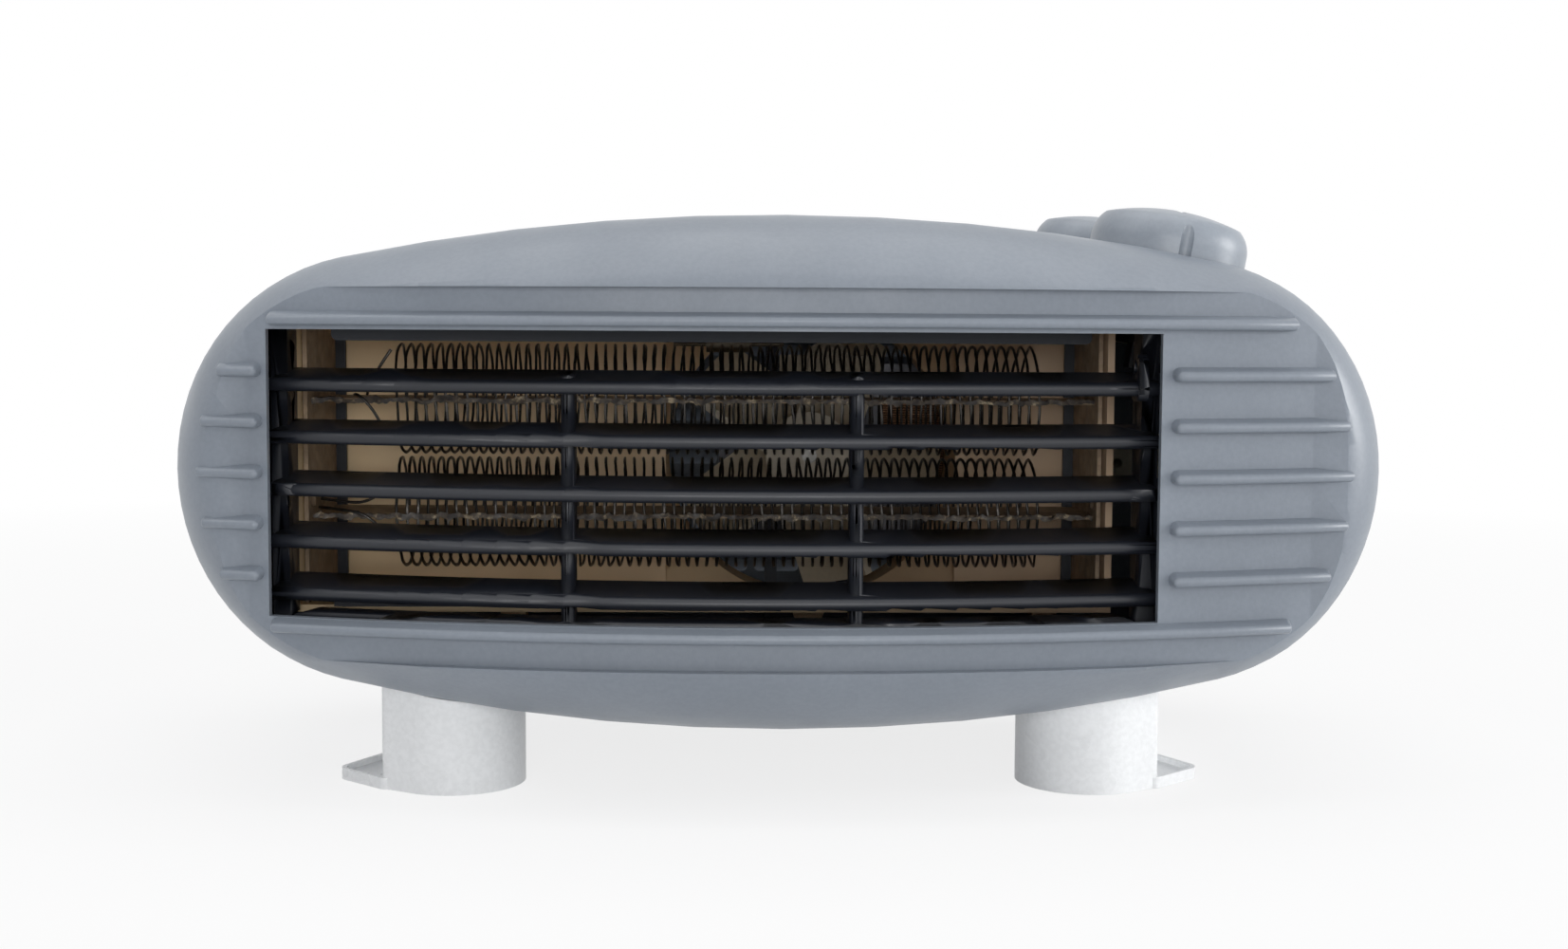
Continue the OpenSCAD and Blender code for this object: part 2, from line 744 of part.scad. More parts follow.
// Steel sheet under the duct's top wall, with a turned lip at its front
module heat_shield() translate([open_x0 + 10, duct_y0 - 2, 0]) {
  shield_l = open_x1 - open_x0 - 20;
  translate([0, 0, duct_half - shield_t]) cube([shield_l, 20, shield_t]);
  rotate([90, 0, 0]) linear_extrude(shield_t) hull() for (x = [lip_r, shield_l - lip_r]) {
    translate([x, duct_half - lip_h + lip_r]) circle(r = lip_r);
    translate([x - lip_r, duct_half - shield_t]) square([2 * lip_r, shield_t]);
  }
}

module upper_heat_shield() color("#4a4d52") in_body() heat_shield();
module lower_heat_shield() color("#4a4d52") in_body() mirror([0, 0, 1]) heat_shield();

module rounded_throat(r, h) rotate([-90, 0, 0]) cylinder(r = r, h = h, $fn = 64);

// Square-to-round transition behind the duct's back wall, started a lead ahead of it
module funnel(grow, lead) hull() {
  translate([fan_x - throat_r - grow, -lead, -duct_half - grow])
    cube([2 * (throat_r + grow), lead, 2 * (duct_half + grow)]);
  translate([fan_x, funnel_l, 0]) rounded_throat(throat_r + grow, 0.01);
}

// Tunnel round the element, with a back wall that funnels into the fan's throat
module air_duct() color("burlywood") in_body() {
  x0 = element_x0 - fit;
  x1 = element_x1 + fit;
  difference() {
    translate([x0 - duct_wall, duct_y0, -duct_half - duct_wall])
      cube([x1 - x0 + 2 * duct_wall, duct_y1 - duct_y0 + duct_wall, 2 * (duct_half + duct_wall)]);
    translate([x0, duct_y0 - 1, -duct_half]) cube([x1 - x0, duct_y1 - duct_y0 + 1, 2 * duct_half]);
    translate([fan_x - throat_r, duct_y0, -duct_half])
      cube([2 * throat_r, duct_y1 - duct_y0 + 2 * duct_wall, 2 * duct_half]);
  }
  translate([0, duct_y1 + duct_wall, 0]) difference() {
    union() {
      funnel(duct_wall, 1);
      translate([fan_x, funnel_l, 0]) rounded_throat(throat_r + duct_wall, throat_l);
      for (side = [-1, 1]) translate([fan_x, funnel_l, side * ear_z])
        rotate([-90, 0, 0]) cylinder(r = 4, h = throat_l);
    }
    funnel(0, 2);
    translate([fan_x, funnel_l - 1, 0]) rounded_throat(throat_r, throat_l + 2);
    for (side = [-1, 1]) translate([fan_x, funnel_l + throat_l - 8, side * ear_z])
      rotate([-90, 0, 0]) cylinder(r = pilot_r, h = 9);
  }
  lug_h = screw_z - post_r - duct_half;
  for (x = [-screw_x, screw_x], side = [-1, 1])
    translate([x - 3, column_y + 6, side > 0 ? duct_half : -duct_half - lug_h]) cube([6, 6, lug_h]);
}

// Mica end plate with slots for the two boards
module end_plate(x) difference() {
  translate([x, element_y - plate_d / 2, -duct_half]) cube([plate_t, plate_d, 2 * duct_half]);
  for (side = [-1, 1]) translate([x - 1, element_y, element_z + side * board_z]) {
    translate([0, -plate_d / 2 + 3, 2]) cube([plate_t + 2, 4, 4]);
    translate([0, -tab_w / 2 - fit, -board_t / 2 - seat])
      cube([plate_t + 2, tab_w + 2 * fit, board_t + 2 * seat]);
  }
}

module left_end_plate() color("tan") in_body() end_plate(element_x0);
module right_end_plate() color("tan") in_body() end_plate(element_x1 - plate_t);

// Puts children at the middle of the upper or the lower board
module at_board(side) translate([0, element_y, element_z + side * board_z]) children();

module mica_board(side) at_board(side) translate([0, 0, -board_t / 2]) linear_extrude(board_t) {
  difference() {
    translate([element_x0 + plate_t, -board_d / 2])
      square([element_x1 - element_x0 - 2 * plate_t, board_d]);
    for (i = [0:coil_turns - 1], end = [-1, 1])
      translate([coil_x0 + (i + 0.5) * coil_pitch, end * board_d / 2])
        square([wire_d + 2 * seat, board_d - coil_d + 2 * wire_d], center = true);
  }
  for (x = [element_x0, element_x1 - plate_t - 0.1])
    translate([x, -tab_w / 2]) square([plate_t + 0.1, tab_w]);
}

module upper_mica_board() color("tan") in_body() mica_board(1);
module lower_mica_board() color("tan") in_body() mica_board(-1);

// Oval with straight sides, upright or lying
module oval(h, d) {
  r = min(h, d) / 2;
  for (side = [-1, 1]) translate([side * (d / 2 - r), side * (h / 2 - r)]) circle(r = r, $fn = 32);
  square([h > d ? d : d - 2 * r, h > d ? h - 2 * r : h], center = true);
}

module heating_coil(side) at_board(side) for (i = [0:coil_turns - 1])
  translate([coil_x0 + (i + 0.5) * coil_pitch - wire_d / 2, 0, 0])
    rotate([90, 0, 90]) linear_extrude(wire_d) difference() {
      oval(coil_h, coil_d);
      oval(coil_h - 2 * wire_d, coil_d - 2 * wire_d);
    }

module upper_heating_coil() color("dimgray") in_body() heating_coil(1);
module lower_heating_coil() color("dimgray") in_body() heating_coil(-1);

// Upright steel straps that hold the end plates in the duct
module element_brackets() color("#303236") in_body()
  for (x = [element_x0 + plate_t, element_x1 - plate_t - 2.4])
    translate([x, element_y + plate_d / 2 - 1.2, -duct_half]) cube([2.4, 1.2, 2 * duct_half]);

// Disc thermostat behind the upper coil, hung from the duct's top wall
module thermal_cutout() color("silver") in_body() translate([fan_x + 4, duct_y1 - 4.5, duct_half - 9]) {
  rotate([-90, 0, 0]) {
    cylinder(r = 5, h = 2);
    translate([0, 0, 2]) cylinder(r = 6.5, h = 2);
    translate([-12, -3, 3]) cube([24, 6, 1]);
  }
  translate([-3, 3, 0]) cube([6, 1, 9]);
}

// Axial fuse in a clip, behind the upper coil
module thermal_fuse() color("silver") in_body()
  translate([fan_x - 26, element_y + board_d / 2 + 1.5, duct_half - 3.5]) {
    rotate([0, 90, 0]) {
      cylinder(r = 2, h = 11);
      translate([0, 0, -8]) cylinder(r = 0.5, h = 27);
    }
    translate([3, -2.2, 0]) cube([5, 4.4, 3.5]);
  }

// ---- Fan and motor ----

module along_fan(y) in_body() translate([fan_x, y, 0]) rotate([-90, 0, 0]) children();

// One cambered blade: a strip of a thin tube whose axis runs out from the hub
module blade() {
  camber_r = 30;
  translate([8, 0, fan_w / 2]) rotate([40, 0, 0]) intersection() {
    translate([0, 0, -camber_r]) rotate([0, 90, 0]) difference() {
      cylinder(r = camber_r + 0.7, h = fan_r, $fn = 96);
      translate([0, 0, -1]) cylinder(r = camber_r - 0.7, h = fan_r + 2, $fn = 96);
    }
    translate([0, -14, -5]) cube([fan_r, 26, 12]);
  }
}

module fan_rotor() color("wheat") along_fan(throat_y + fan_gap) difference() {
  union() {
    difference() {
      cylinder(r = 11, h = fan_w);
      translate([0, 0, 3]) cylinder(r = 9.2, h = fan_w);
    }
    cylinder(r = 4.6, h = fan_w - 1);
    intersection() {
      difference() {
        cylinder(r = fan_r, h = fan_w, $fn = 96);
        translate([0, 0, -1]) cylinder(r = 10.2, h = fan_w + 2);
      }
      for (i = [0:blades - 1]) rotate([0, 0, i * 360 / blades]) blade();
    }
  }
  translate([0, 0, -1]) cylinder(r = shaft_r, h = fan_w + 2);
}

module motor_shaft() color("silver") along_fan(shaft_y0) cylinder(r = shaft_r, h = shaft_y1 - shaft_y0);

module motor_rotor() color("gray") along_fan(core_y) difference() {
  union() {
    cylinder(r = rotor_r, h = core_t);
    translate([0, 0, -2]) cylinder(r = rotor_r - 2, h = core_t + 4);
  }
  translate([0, 0, -3]) cylinder(r = shaft_r, h = core_t + 6);
}

// Laminated core: a square frame with the rotor's bore and a leg for the winding
module motor_core() color("#8a8d92") along_fan(core_y) difference() {
  linear_extrude(core_t) difference() {
    translate([-core_w / 2, -core_w / 2]) square([core_w + leg_w, core_w]);
    circle(r = rotor_r + 0.5);
    translate([core_w / 2 - 4, -core_w / 2 + 9]) square([10, core_w - 18]);
  }
  for (side = [-1, 1]) translate([0, side * motor_screw_z, -1])
    cylinder(r = screw_r + seat, h = core_t + 2);
}

module motor_winding() color("sienna") along_fan(core_y) difference() {
  translate([core_w / 2 - 3.8, -core_w / 2 + 9.4, -5])
    cube([leg_w + 11, core_w - 18.8, core_t + 10]);
  translate([core_w / 2 + 6 - seat, -core_w / 2, -seat])
    cube([leg_w - 6 + 2 * seat, core_w, core_t + 2 * seat]);
}

// Upright strip with the hub that holds a shaft bush
module motor_bracket() difference() {
  union() {
    linear_extrude(bracket_t) {
      square([11, 2 * motor_screw_z], center = true);
      for (side = [-1, 1]) translate([0, side * motor_screw_z]) circle(r = 5.5);
    }
    cylinder(r = hub_r, h = bracket_t + hub_l);
  }
  translate([0, 0, -1]) cylinder(r = bush_r, h = bracket_t + hub_l + 2);
  for (side = [-1, 1]) translate([0, side * motor_screw_z, -1])
    cylinder(r = screw_r + seat, h = bracket_t + 2);
}

module bracket_spacers() for (side = [-1, 1]) translate([0, side * motor_screw_z, 0]) difference() {
  cylinder(r = 3.4, h = spacer_l);
  translate([0, 0, -1]) cylinder(r = screw_r + seat, h = spacer_l + 2);
}

module front_motor_bracket() color("gainsboro") along_fan(front_bracket_y + bracket_t) {
  mirror([0, 0, 1]) motor_bracket();
  bracket_spacers();
}

module rear_motor_bracket() color("gainsboro") along_fan(rear_bracket_y) {
  motor_bracket();
  translate([0, 0, -spacer_l]) bracket_spacers();
}

module shaft_bush() difference() {
  cylinder(r = bush_r, h = bracket_t + hub_l);
  translate([0, 0, -1]) cylinder(r = shaft_r + run, h = bracket_t + hub_l + 2);
}

module shaft_bushes() color("darkgoldenrod") {
  along_fan(front_bracket_y + bracket_t) mirror([0, 0, 1]) shaft_bush();
  along_fan(rear_bracket_y) shaft_bush();
}

// Two upright rails with cross pieces for the motor, screwed to the throat
module motor_carrier() color("#34363a") along_fan(carrier_y) linear_extrude(carrier_t) difference() {
  union() {
    for (side = [-1, 1]) {
      translate([side * rail_x, 0]) square([3.2, 2 * ear_z], center = true);
      translate([0, side * motor_screw_z]) square([2 * rail_x, 9], center = true);
      translate([0, side * ear_z]) square([2 * rail_x + 3.2, 8], center = true);
    }
  }
  for (side = [-1, 1]) {
    translate([0, side * motor_screw_z]) circle(r = screw_r + seat);
    translate([0, side * ear_z]) circle(r = screw_r + seat);
  }
}

// Pan-head screw: its head ends at z = 0 and its shank runs up
module screw(r, l) {
  cylinder(r = r, h = l);
  translate([0, 0, -2]) cylinder(r = 3.1, h = 2);
}

module motor_screws() color("silver") for (side = [-1, 1])
  along_fan(rear_bracket_y + bracket_t) translate([0, side * motor_screw_z, 0])
    mirror([0, 0, 1]) screw(screw_r, rear_bracket_y + bracket_t - carrier_y);

module carrier_screws() color("silver") for (side = [-1, 1])
  along_fan(carrier_y + carrier_t) translate([0, side * ear_z, 0]) mirror([0, 0, 1])
    screw(pilot_r - seat, 8);

// ---- Wiring and fasteners ----

module terminal_block() color("ivory") in_body()
  translate([inlet_x + 16, y_back - wall - 14, inlet_z + 16]) difference() {
    cube([24, 14, 12]);
    for (x = [4.5, 12, 19.5]) translate([x, 7, 6]) {
      cylinder(r = 1.6, h = 7);
      translate([0, -8, -2]) rotate([-90, 0, 0]) cylinder(r = 1.3, h = 16);
    }
  }

// Rubber sleeve for the mains cord, seated in the back wall
module cord_inlet() color("#1d1e20") in_body() translate([inlet_x, y_back, inlet_z]) rotate([-90, 0, 0])
  rotate_extrude() {
    translate([inlet_r, -wall - 6]) square([2.2, wall + 6 + inlet_out]);
    translate([inlet_r, 0.02]) square([5, inlet_out - 2]);
  }

module cord_clamp() color("ivory") in_body() translate([inlet_x, clamp_y, inlet_z]) difference() {
  translate([-clamp_w / 2, -4, 0]) cube([clamp_w, 8, inlet_r + 2.4]);
  rotate([90, 0, 0]) cylinder(r = inlet_r, h = 10, center = true);
  for (x = [-clamp_screw_x, clamp_screw_x]) translate([x, 0, -1]) cylinder(r = pilot_r + seat, h = 12);
}

module clamp_screws() color("silver") in_body() for (x = [-clamp_screw_x, clamp_screw_x])
  translate([inlet_x + x, clamp_y, inlet_z + inlet_r + 2.4]) mirror([0, 0, 1]) screw(pilot_r - seat, 11);

module shell_screws() color("silver") in_body() for (x = [-screw_x, screw_x], side = [-1, 1])
  translate([x, y_split + 12, side * screw_z]) rotate([90, 0, 0]) screw(pilot_r - seat, 24);

module foot_screws() color("silver") for (side = [-1, 1], post = [front_post, rear_post])
  translate([post_x(side, post), foot_y + post[1], 8]) screw(pilot_r - seat, 20);

front_cover();
rear_shell();
outlet_grille();
left_foot();
right_foot();
mode_knob();
mode_spindle();
mode_switch();
thermostat_knob();
thermostat_spindle();
thermostat();
control_nuts();
upper_heat_shield();
lower_heat_shield();
air_duct();
left_end_plate();
right_end_plate();
upper_mica_board();
lower_mica_board();
upper_heating_coil();
lower_heating_coil();
element_brackets();
thermal_cutout();
thermal_fuse();
fan_rotor();
motor_shaft();
motor_rotor();
motor_core();
motor_winding();
front_motor_bracket();
rear_motor_bracket();
shaft_bushes();
motor_carrier();
motor_screws();
carrier_screws();
terminal_block();
cord_inlet();
cord_clamp();
clamp_screws();
shell_screws();
foot_screws();
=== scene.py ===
import json
import math

import bmesh
import bpy
from mathutils import Matrix, Vector


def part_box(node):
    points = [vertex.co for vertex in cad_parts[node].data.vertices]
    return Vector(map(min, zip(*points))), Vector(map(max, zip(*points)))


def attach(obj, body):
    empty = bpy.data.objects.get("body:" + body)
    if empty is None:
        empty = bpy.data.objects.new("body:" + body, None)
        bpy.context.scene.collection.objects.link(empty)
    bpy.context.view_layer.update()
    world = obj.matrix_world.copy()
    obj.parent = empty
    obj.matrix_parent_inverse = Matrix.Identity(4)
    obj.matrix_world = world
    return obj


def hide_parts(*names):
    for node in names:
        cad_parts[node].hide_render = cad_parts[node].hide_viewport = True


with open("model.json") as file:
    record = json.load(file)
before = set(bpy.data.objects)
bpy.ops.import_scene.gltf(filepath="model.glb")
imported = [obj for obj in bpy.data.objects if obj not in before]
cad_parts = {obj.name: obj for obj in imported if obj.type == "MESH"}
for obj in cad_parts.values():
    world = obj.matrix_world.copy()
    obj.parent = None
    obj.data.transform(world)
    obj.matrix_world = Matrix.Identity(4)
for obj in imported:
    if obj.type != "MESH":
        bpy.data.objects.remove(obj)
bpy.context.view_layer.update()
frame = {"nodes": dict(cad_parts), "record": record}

node = frame["nodes"]
MM = 0.001

# ---- Camera, lamps and backdrop ----

PHOTO_WIDTH = 1653  # pixels
SENSOR_WIDTH = 36  # mm
CAMERA_PLACE = (-0.01175, -0.4539, 0.10228)
CAMERA_YAW, CAMERA_PITCH, CAMERA_ROLL = -1.625, 4.183, 0.326  # degrees
PIXELS_PER_RADIAN = 1960

# Each lamp's name, place, size and watts
PANELS = [
    ("overhead_panel", (0, 0.05, 1.2), (1.2, 1.0), 7.0),
    ("overhead_front_panel", (0, -0.75, 1.0), (1.0, 0.6), 1.6),
    ("overhead_left_panel", (-0.85, -0.2, 0.85), (0.6, 0.6), 2.0),
    ("right_front_panel", (0.85, -0.9, 0.4), (0.6, 0.5), 1.2),
    ("right_panel", (1.2, -0.15, 0.3), (0.5, 0.5), 7.5),
    ("front_panel", (0, -1.3, 0.3), (0.7, 0.4), 5.0),
]
HEATER_MIDDLE = (0, 0, 0.07)
ROOM_COLOUR = (0.93, 0.95, 1.0, 1)
ROOM_STRENGTH = 0.18
FLOOR_SIZE = 8
FLOOR_LEVEL = -0.0002
FLOOR_GREY = 0.9
# The floor is less white from the heater's middle to SHADOW_NEAR, and all white past SHADOW_FAR
SHADOW_NEAR = 0.25
SHADOW_FAR = 0.8
SHADOW_WHITE = 0.8


def aim_camera():
    """Camera of the photograph: it turns to the left by yaw and looks down by pitch."""
    bpy.ops.object.camera_add(location=CAMERA_PLACE)
    camera = bpy.context.object
    camera.name = "photo_camera"
    camera.matrix_world = (
        Matrix.Translation(CAMERA_PLACE)
        @ Matrix.Rotation(math.radians(CAMERA_YAW), 4, "Z")
        @ Matrix.Rotation(math.radians(90 - CAMERA_PITCH), 4, "X")
        @ Matrix.Rotation(math.radians(CAMERA_ROLL), 4, "Z")
    )
    camera.data.sensor_width = SENSOR_WIDTH
    camera.data.lens = SENSOR_WIDTH * PIXELS_PER_RADIAN / PHOTO_WIDTH
    camera.data.clip_start = 0.01
    camera.data.clip_end = 20
    bpy.context.scene.camera = camera


def soft_lamp(name, place, size, watts):
    """A rectangular lamp that faces the heater."""
    bpy.ops.object.light_add(type="AREA", location=place)
    lamp = bpy.context.object
    lamp.name = name
    lamp.data.shape = "RECTANGLE"
    lamp.data.size, lamp.data.size_y = size
    lamp.data.energy = watts
    facing = Vector(HEATER_MIDDLE) - Vector(place)
    lamp.rotation_euler = facing.to_track_quat("-Z", "Y").to_euler()


def seen_rays(tree):
    """One for the rays that see the backdrop, and nothing for the rays that carry light."""
    path = tree.nodes.new("ShaderNodeLightPath")
    total = path.outputs["Is Camera Ray"]
    for ray in ("Is Glossy Ray", "Is Transmission Ray"):
        either = tree.nodes.new("ShaderNodeMath")
        either.operation = "MAXIMUM"
        tree.links.new(total, either.inputs[0])
        tree.links.new(path.outputs[ray], either.inputs[1])
        total = either.outputs[0]
    return total


def floor_share(tree):
    """How white the floor is: less so under the heater, so that its shadow stays."""
    coords = tree.nodes.new("ShaderNodeTexCoord")
    reach = tree.nodes.new("ShaderNodeVectorMath")
    reach.operation = "LENGTH"
    tree.links.new(coords.outputs["Object"], reach.inputs[0])
    share = tree.nodes.new("ShaderNodeMapRange")
    share.inputs["From Min"].default_value = SHADOW_NEAR
    share.inputs["From Max"].default_value = SHADOW_FAR
    share.inputs["To Min"].default_value = SHADOW_WHITE
    share.inputs["To Max"].default_value = 1
    tree.links.new(reach.outputs["Value"], share.inputs["Value"])
    return share.outputs[0]


def white_where_seen(tree, shade, share):
    """Mixes a white emission over a shader for the rays that see the backdrop."""
    sees = tree.nodes.new("ShaderNodeMath")
    sees.operation = "MULTIPLY"
    tree.links.new(seen_rays(tree), sees.inputs[0])
    tree.links.new(share, sees.inputs[1])
    glow = tree.nodes.new("ShaderNodeEmission")
    glow.inputs["Color"].default_value = (1, 1, 1, 1)
    glow.inputs["Strength"].default_value = 1
    mix = tree.nodes.new("ShaderNodeMixShader")
    tree.links.new(sees.outputs[0], mix.inputs[0])
    tree.links.new(shade, mix.inputs[1])
    tree.links.new(glow.outputs[0], mix.inputs[2])
    return mix.outputs[0]


def light_room():
    """A faint even light from all round, which the camera sees as white."""
    world = bpy.data.worlds.new("studio")
    bpy.context.scene.world = world
    world.use_nodes = True
    tree = world.node_tree
    back = tree.nodes["Background"]
    back.inputs["Color"].default_value = ROOM_COLOUR
    back.inputs["Strength"].default_value = ROOM_STRENGTH
    seen = tree.nodes.new("ShaderNodeBackground")
    seen.inputs["Color"].default_value = (1, 1, 1, 1)
    seen.inputs["Strength"].default_value = 1
    mix = tree.nodes.new("ShaderNodeMixShader")
    tree.links.new(seen_rays(tree), mix.inputs[0])
    tree.links.new(back.outputs[0], mix.inputs[1])
    tree.links.new(seen.outputs[0], mix.inputs[2])
    tree.links.new(mix.outputs[0], tree.nodes["World Output"].inputs["Surface"])


def lay_floor():
    bpy.ops.object.select_all(action="DESELECT")
    bpy.ops.mesh.primitive_plane_add(size=FLOOR_SIZE, location=(0, 0, FLOOR_LEVEL))
    floor = bpy.context.object
    floor.name = "studio_floor"
    paint = bpy.data.materials.new("pale_floor")
    paint.use_nodes = True
    tree = paint.node_tree
    shade = tree.nodes["Principled BSDF"]
    shade.inputs["Base Color"].default_value = (FLOOR_GREY, FLOOR_GREY, FLOOR_GREY, 1)
    shade.inputs["Roughness"].default_value = 0.9
    white = white_where_seen(tree, shade.outputs[0], floor_share(tree))
    tree.links.new(white, tree.nodes["Material Output"].inputs["Surface"])
    floor.data.materials.append(paint)


def set_studio():
    bpy.context.scene.view_settings.view_transform = "Standard"
    light_room()
    lay_floor()
    for panel in PANELS:
        soft_lamp(*panel)


# ---- Finishes ----
# Scales are in cycles a metre of the piece, and depths in metres.


def new_finish(name):
    paint = bpy.data.materials.new(name)
    paint.use_nodes = True
    tree = paint.node_tree
    coords = tree.nodes.new("ShaderNodeTexCoord")
    return paint, tree, tree.nodes["Principled BSDF"], coords.outputs["Object"]


def noise(tree, place, scale, detail=3, rough=0.5, stretch=None):
    if stretch:
        turn = tree.nodes.new("ShaderNodeMapping")
        turn.inputs["Scale"].default_value = stretch
        tree.links.new(place, turn.inputs["Vector"])
        place = turn.outputs[0]
    grain = tree.nodes.new("ShaderNodeTexNoise")
    grain.inputs["Scale"].default_value = scale
    grain.inputs["Detail"].default_value = detail
    grain.inputs["Roughness"].default_value = rough
    tree.links.new(place, grain.inputs["Vector"])
    return grain.outputs["Fac"]


def bands(tree, place, direction, scale, distortion):
    wave = tree.nodes.new("ShaderNodeTexWave")
    wave.bands_direction = direction
    wave.inputs["Scale"].default_value = scale
    wave.inputs["Distortion"].default_value = distortion
    tree.links.new(place, wave.inputs["Vector"])
    return wave.outputs["Fac"]


def ramp(tree, value, stops):
    """Colour ramp: stops are (place, colour) or (place, grey)."""
    band = tree.nodes.new("ShaderNodeValToRGB")
    parts = band.color_ramp.elements
    while len(parts) < len(stops):
        parts.new(0.5)
    for part, (place, colour) in zip(parts, stops):
        part.position = place
        part.color = (colour, colour, colour, 1) if isinstance(colour, float) else (*colour, 1)
    tree.links.new(value, band.inputs[0])
    return band.outputs[0]


def multiply(tree, first, second):
    """Darkens one colour by another."""
    blend = tree.nodes.new("ShaderNodeMix")
    blend.data_type = "RGBA"
    blend.blend_type = "MULTIPLY"
    blend.inputs[0].default_value = 1
    tree.links.new(first, blend.inputs[6])
    tree.links.new(second, blend.inputs[7])
    return blend.outputs[2]


def set_colour(tree, shader, tint):
    tree.links.new(tint, shader.inputs["Base Color"])


def set_roughness(tree, shader, value, low, high):
    """Roughness that follows a pattern: low and high are (pattern value, roughness)."""
    tree.links.new(ramp(tree, value, [low, high]), shader.inputs["Roughness"])


def bump(tree, shader, height, depth, strength):
    relief = tree.nodes.new("ShaderNodeBump")
    relief.inputs["Strength"].default_value = strength
    relief.inputs["Distance"].default_value = depth
    tree.links.new(height, relief.inputs["Height"])
    tree.links.new(relief.outputs[0], shader.inputs["Normal"])


def shade_of(colour, factor):
    return tuple(min(1.0, c * factor) for c in colour)


def moulded_plastic(name, colour, rough=0.42, spread=0.06, grain=2600, depth=0.00003):
    """Satin moulding: faint clouding, uneven sheen and a fine spark-eroded grain."""
    paint, tree, shader, place = new_finish(name)
    cloud = noise(tree, place, 22, 4, 0.6)
    speck = noise(tree, place, 900, 2)
    low, high = shade_of(colour, 1 - spread), shade_of(colour, 1 + spread)
    tint = ramp(tree, cloud, [(0.3, low), (0.7, high)])
    fleck = ramp(tree, speck, [(0.35, 0.94), (0.65, 1.0)])
    set_colour(tree, shader, multiply(tree, tint, fleck))
    sheen = noise(tree, place, 60, 3)
    set_roughness(tree, shader, sheen, (0.3, rough - 0.05), (0.7, rough + 0.07))
    bump(tree, shader, noise(tree, place, grain, 2), depth, 0.6)
    return paint


def bright_metal(name, colour, rough=0.3, stretch=(1, 1, 12), scale=600, depth=0.00002):
    """Drawn or turned metal with fine lines and dull patches."""
    paint, tree, shader, place = new_finish(name)
    shader.inputs["Metallic"].default_value = 1
    lines = noise(tree, place, scale, 3, 0.6, stretch)
    patch = noise(tree, place, 70, 3)
    set_colour(tree, shader, ramp(tree, patch, [(0.35, shade_of(colour, 0.8)), (0.65, colour)]))
    set_roughness(tree, shader, lines, (0.3, rough - 0.08), (0.7, rough + 0.15))
    bump(tree, shader, lines, depth, 0.5)
    return paint


def painted_steel(name, colour, rough=0.5):
    """Sheet steel under a dull, patchy dark coat."""
    paint, tree, shader, place = new_finish(name)
    patch = noise(tree, place, 90, 4, 0.6)
    tint = ramp(tree, patch, [(0.3, shade_of(colour, 0.75)), (0.75, shade_of(colour, 1.3))])
    set_colour(tree, shader, tint)
    shader.inputs["Metallic"].default_value = 0.5
    set_roughness(tree, shader, patch, (0.2, rough - 0.1), (0.8, rough + 0.15))
    bump(tree, shader, noise(tree, place, 1500, 3), 0.00003, 0.5)
    return paint


def mica_board(name, colour):
    """Pressed mica: layered flakes with brown streaks and scorched patches."""
    paint, tree, shader, place = new_finish(name)
    flakes = tree.nodes.new("ShaderNodeTexVoronoi")
    flakes.inputs["Scale"].default_value = 420
    tree.links.new(place, flakes.inputs["Vector"])
    scorch = noise(tree, place, 45, 5, 0.65)
    tint = ramp(tree, scorch, [
        (0.25, shade_of(colour, 0.45)),
        (0.5, colour),
        (0.8, shade_of(colour, 1.35)),
    ])
    flake = ramp(tree, flakes.outputs["Color"], [(0.2, 0.78), (0.8, 1.0)])
    set_colour(tree, shader, multiply(tree, tint, flake))
    set_roughness(tree, shader, flakes.outputs["Distance"], (0.0, 0.45), (1.0, 0.75))
    bump(tree, shader, flakes.outputs["Distance"], 0.00012, 0.7)
    return paint


def mica_edge_painted_glints(name):
    """Broken mica: dark scorched layers with pale flakes, whose cream spots are painted glints.
    """
    paint, tree, shader, place = new_finish(name)
    # Painted glints: the cream top of this ramp stands for light caught by the flakes
    tint = ramp(tree, noise(tree, place, 520, 4, 0.7), [
        (0.42, (0.035, 0.028, 0.024)),
        (0.58, (0.13, 0.10, 0.07)),
        (0.66, (0.55, 0.44, 0.28)),
    ])
    set_colour(tree, shader, tint)
    set_roughness(tree, shader, noise(tree, place, 300, 2), (0.3, 0.35), (0.7, 0.7))
    bump(tree, shader, noise(tree, place, 1400, 3), 0.0001, 0.8)
    return paint


def duct_with_painted_shade(name):
    """Beige moulding with painted shade: lighter at the left end and browner towards the
    controls' end.
    """
    paint, tree, shader, place = new_finish(name)
    split = tree.nodes.new("ShaderNodeSeparateXYZ")
    tree.links.new(place, split.inputs[0])
    # Painted shade: the colour darkens from left to right along X, standing for the light fading
    # inside the duct
    along = tree.nodes.new("ShaderNodeMapRange")
    along.inputs["From Min"].default_value = -0.11
    along.inputs["From Max"].default_value = 0.08
    tree.links.new(split.outputs["X"], along.inputs["Value"])
    painted_shade_tint = ramp(tree, along.outputs[0], [
        (0.0, (0.98, 0.74, 0.44)),
        (0.5, (0.90, 0.67, 0.42)),
        (1.0, (0.56, 0.39, 0.25)),
    ])
    smoke = ramp(tree, noise(tree, place, 35, 4, 0.6), [(0.3, 0.88), (0.7, 1.0)])
    set_colour(tree, shader, multiply(tree, painted_shade_tint, smoke))
    set_roughness(tree, shader, noise(tree, place, 120, 3), (0.3, 0.45), (0.7, 0.65))
    bump(tree, shader, noise(tree, place, 1800, 2), 0.00003, 0.5)
    return paint


def laminations(name):
    """Stacked steel sheets, in bands along Y."""
    paint, tree, shader, place = new_finish(name)
    shader.inputs["Metallic"].default_value = 1
    sheets = bands(tree, place, "Y", 320, 0.4)
    tint = ramp(tree, sheets, [(0.2, (0.12, 0.12, 0.13)), (0.7, (0.38, 0.39, 0.41))])
    set_colour(tree, shader, tint)
    set_roughness(tree, shader, noise(tree, place, 200, 3), (0.3, 0.35), (0.7, 0.55))
    bump(tree, shader, sheets, 0.00008, 0.8)
    return paint


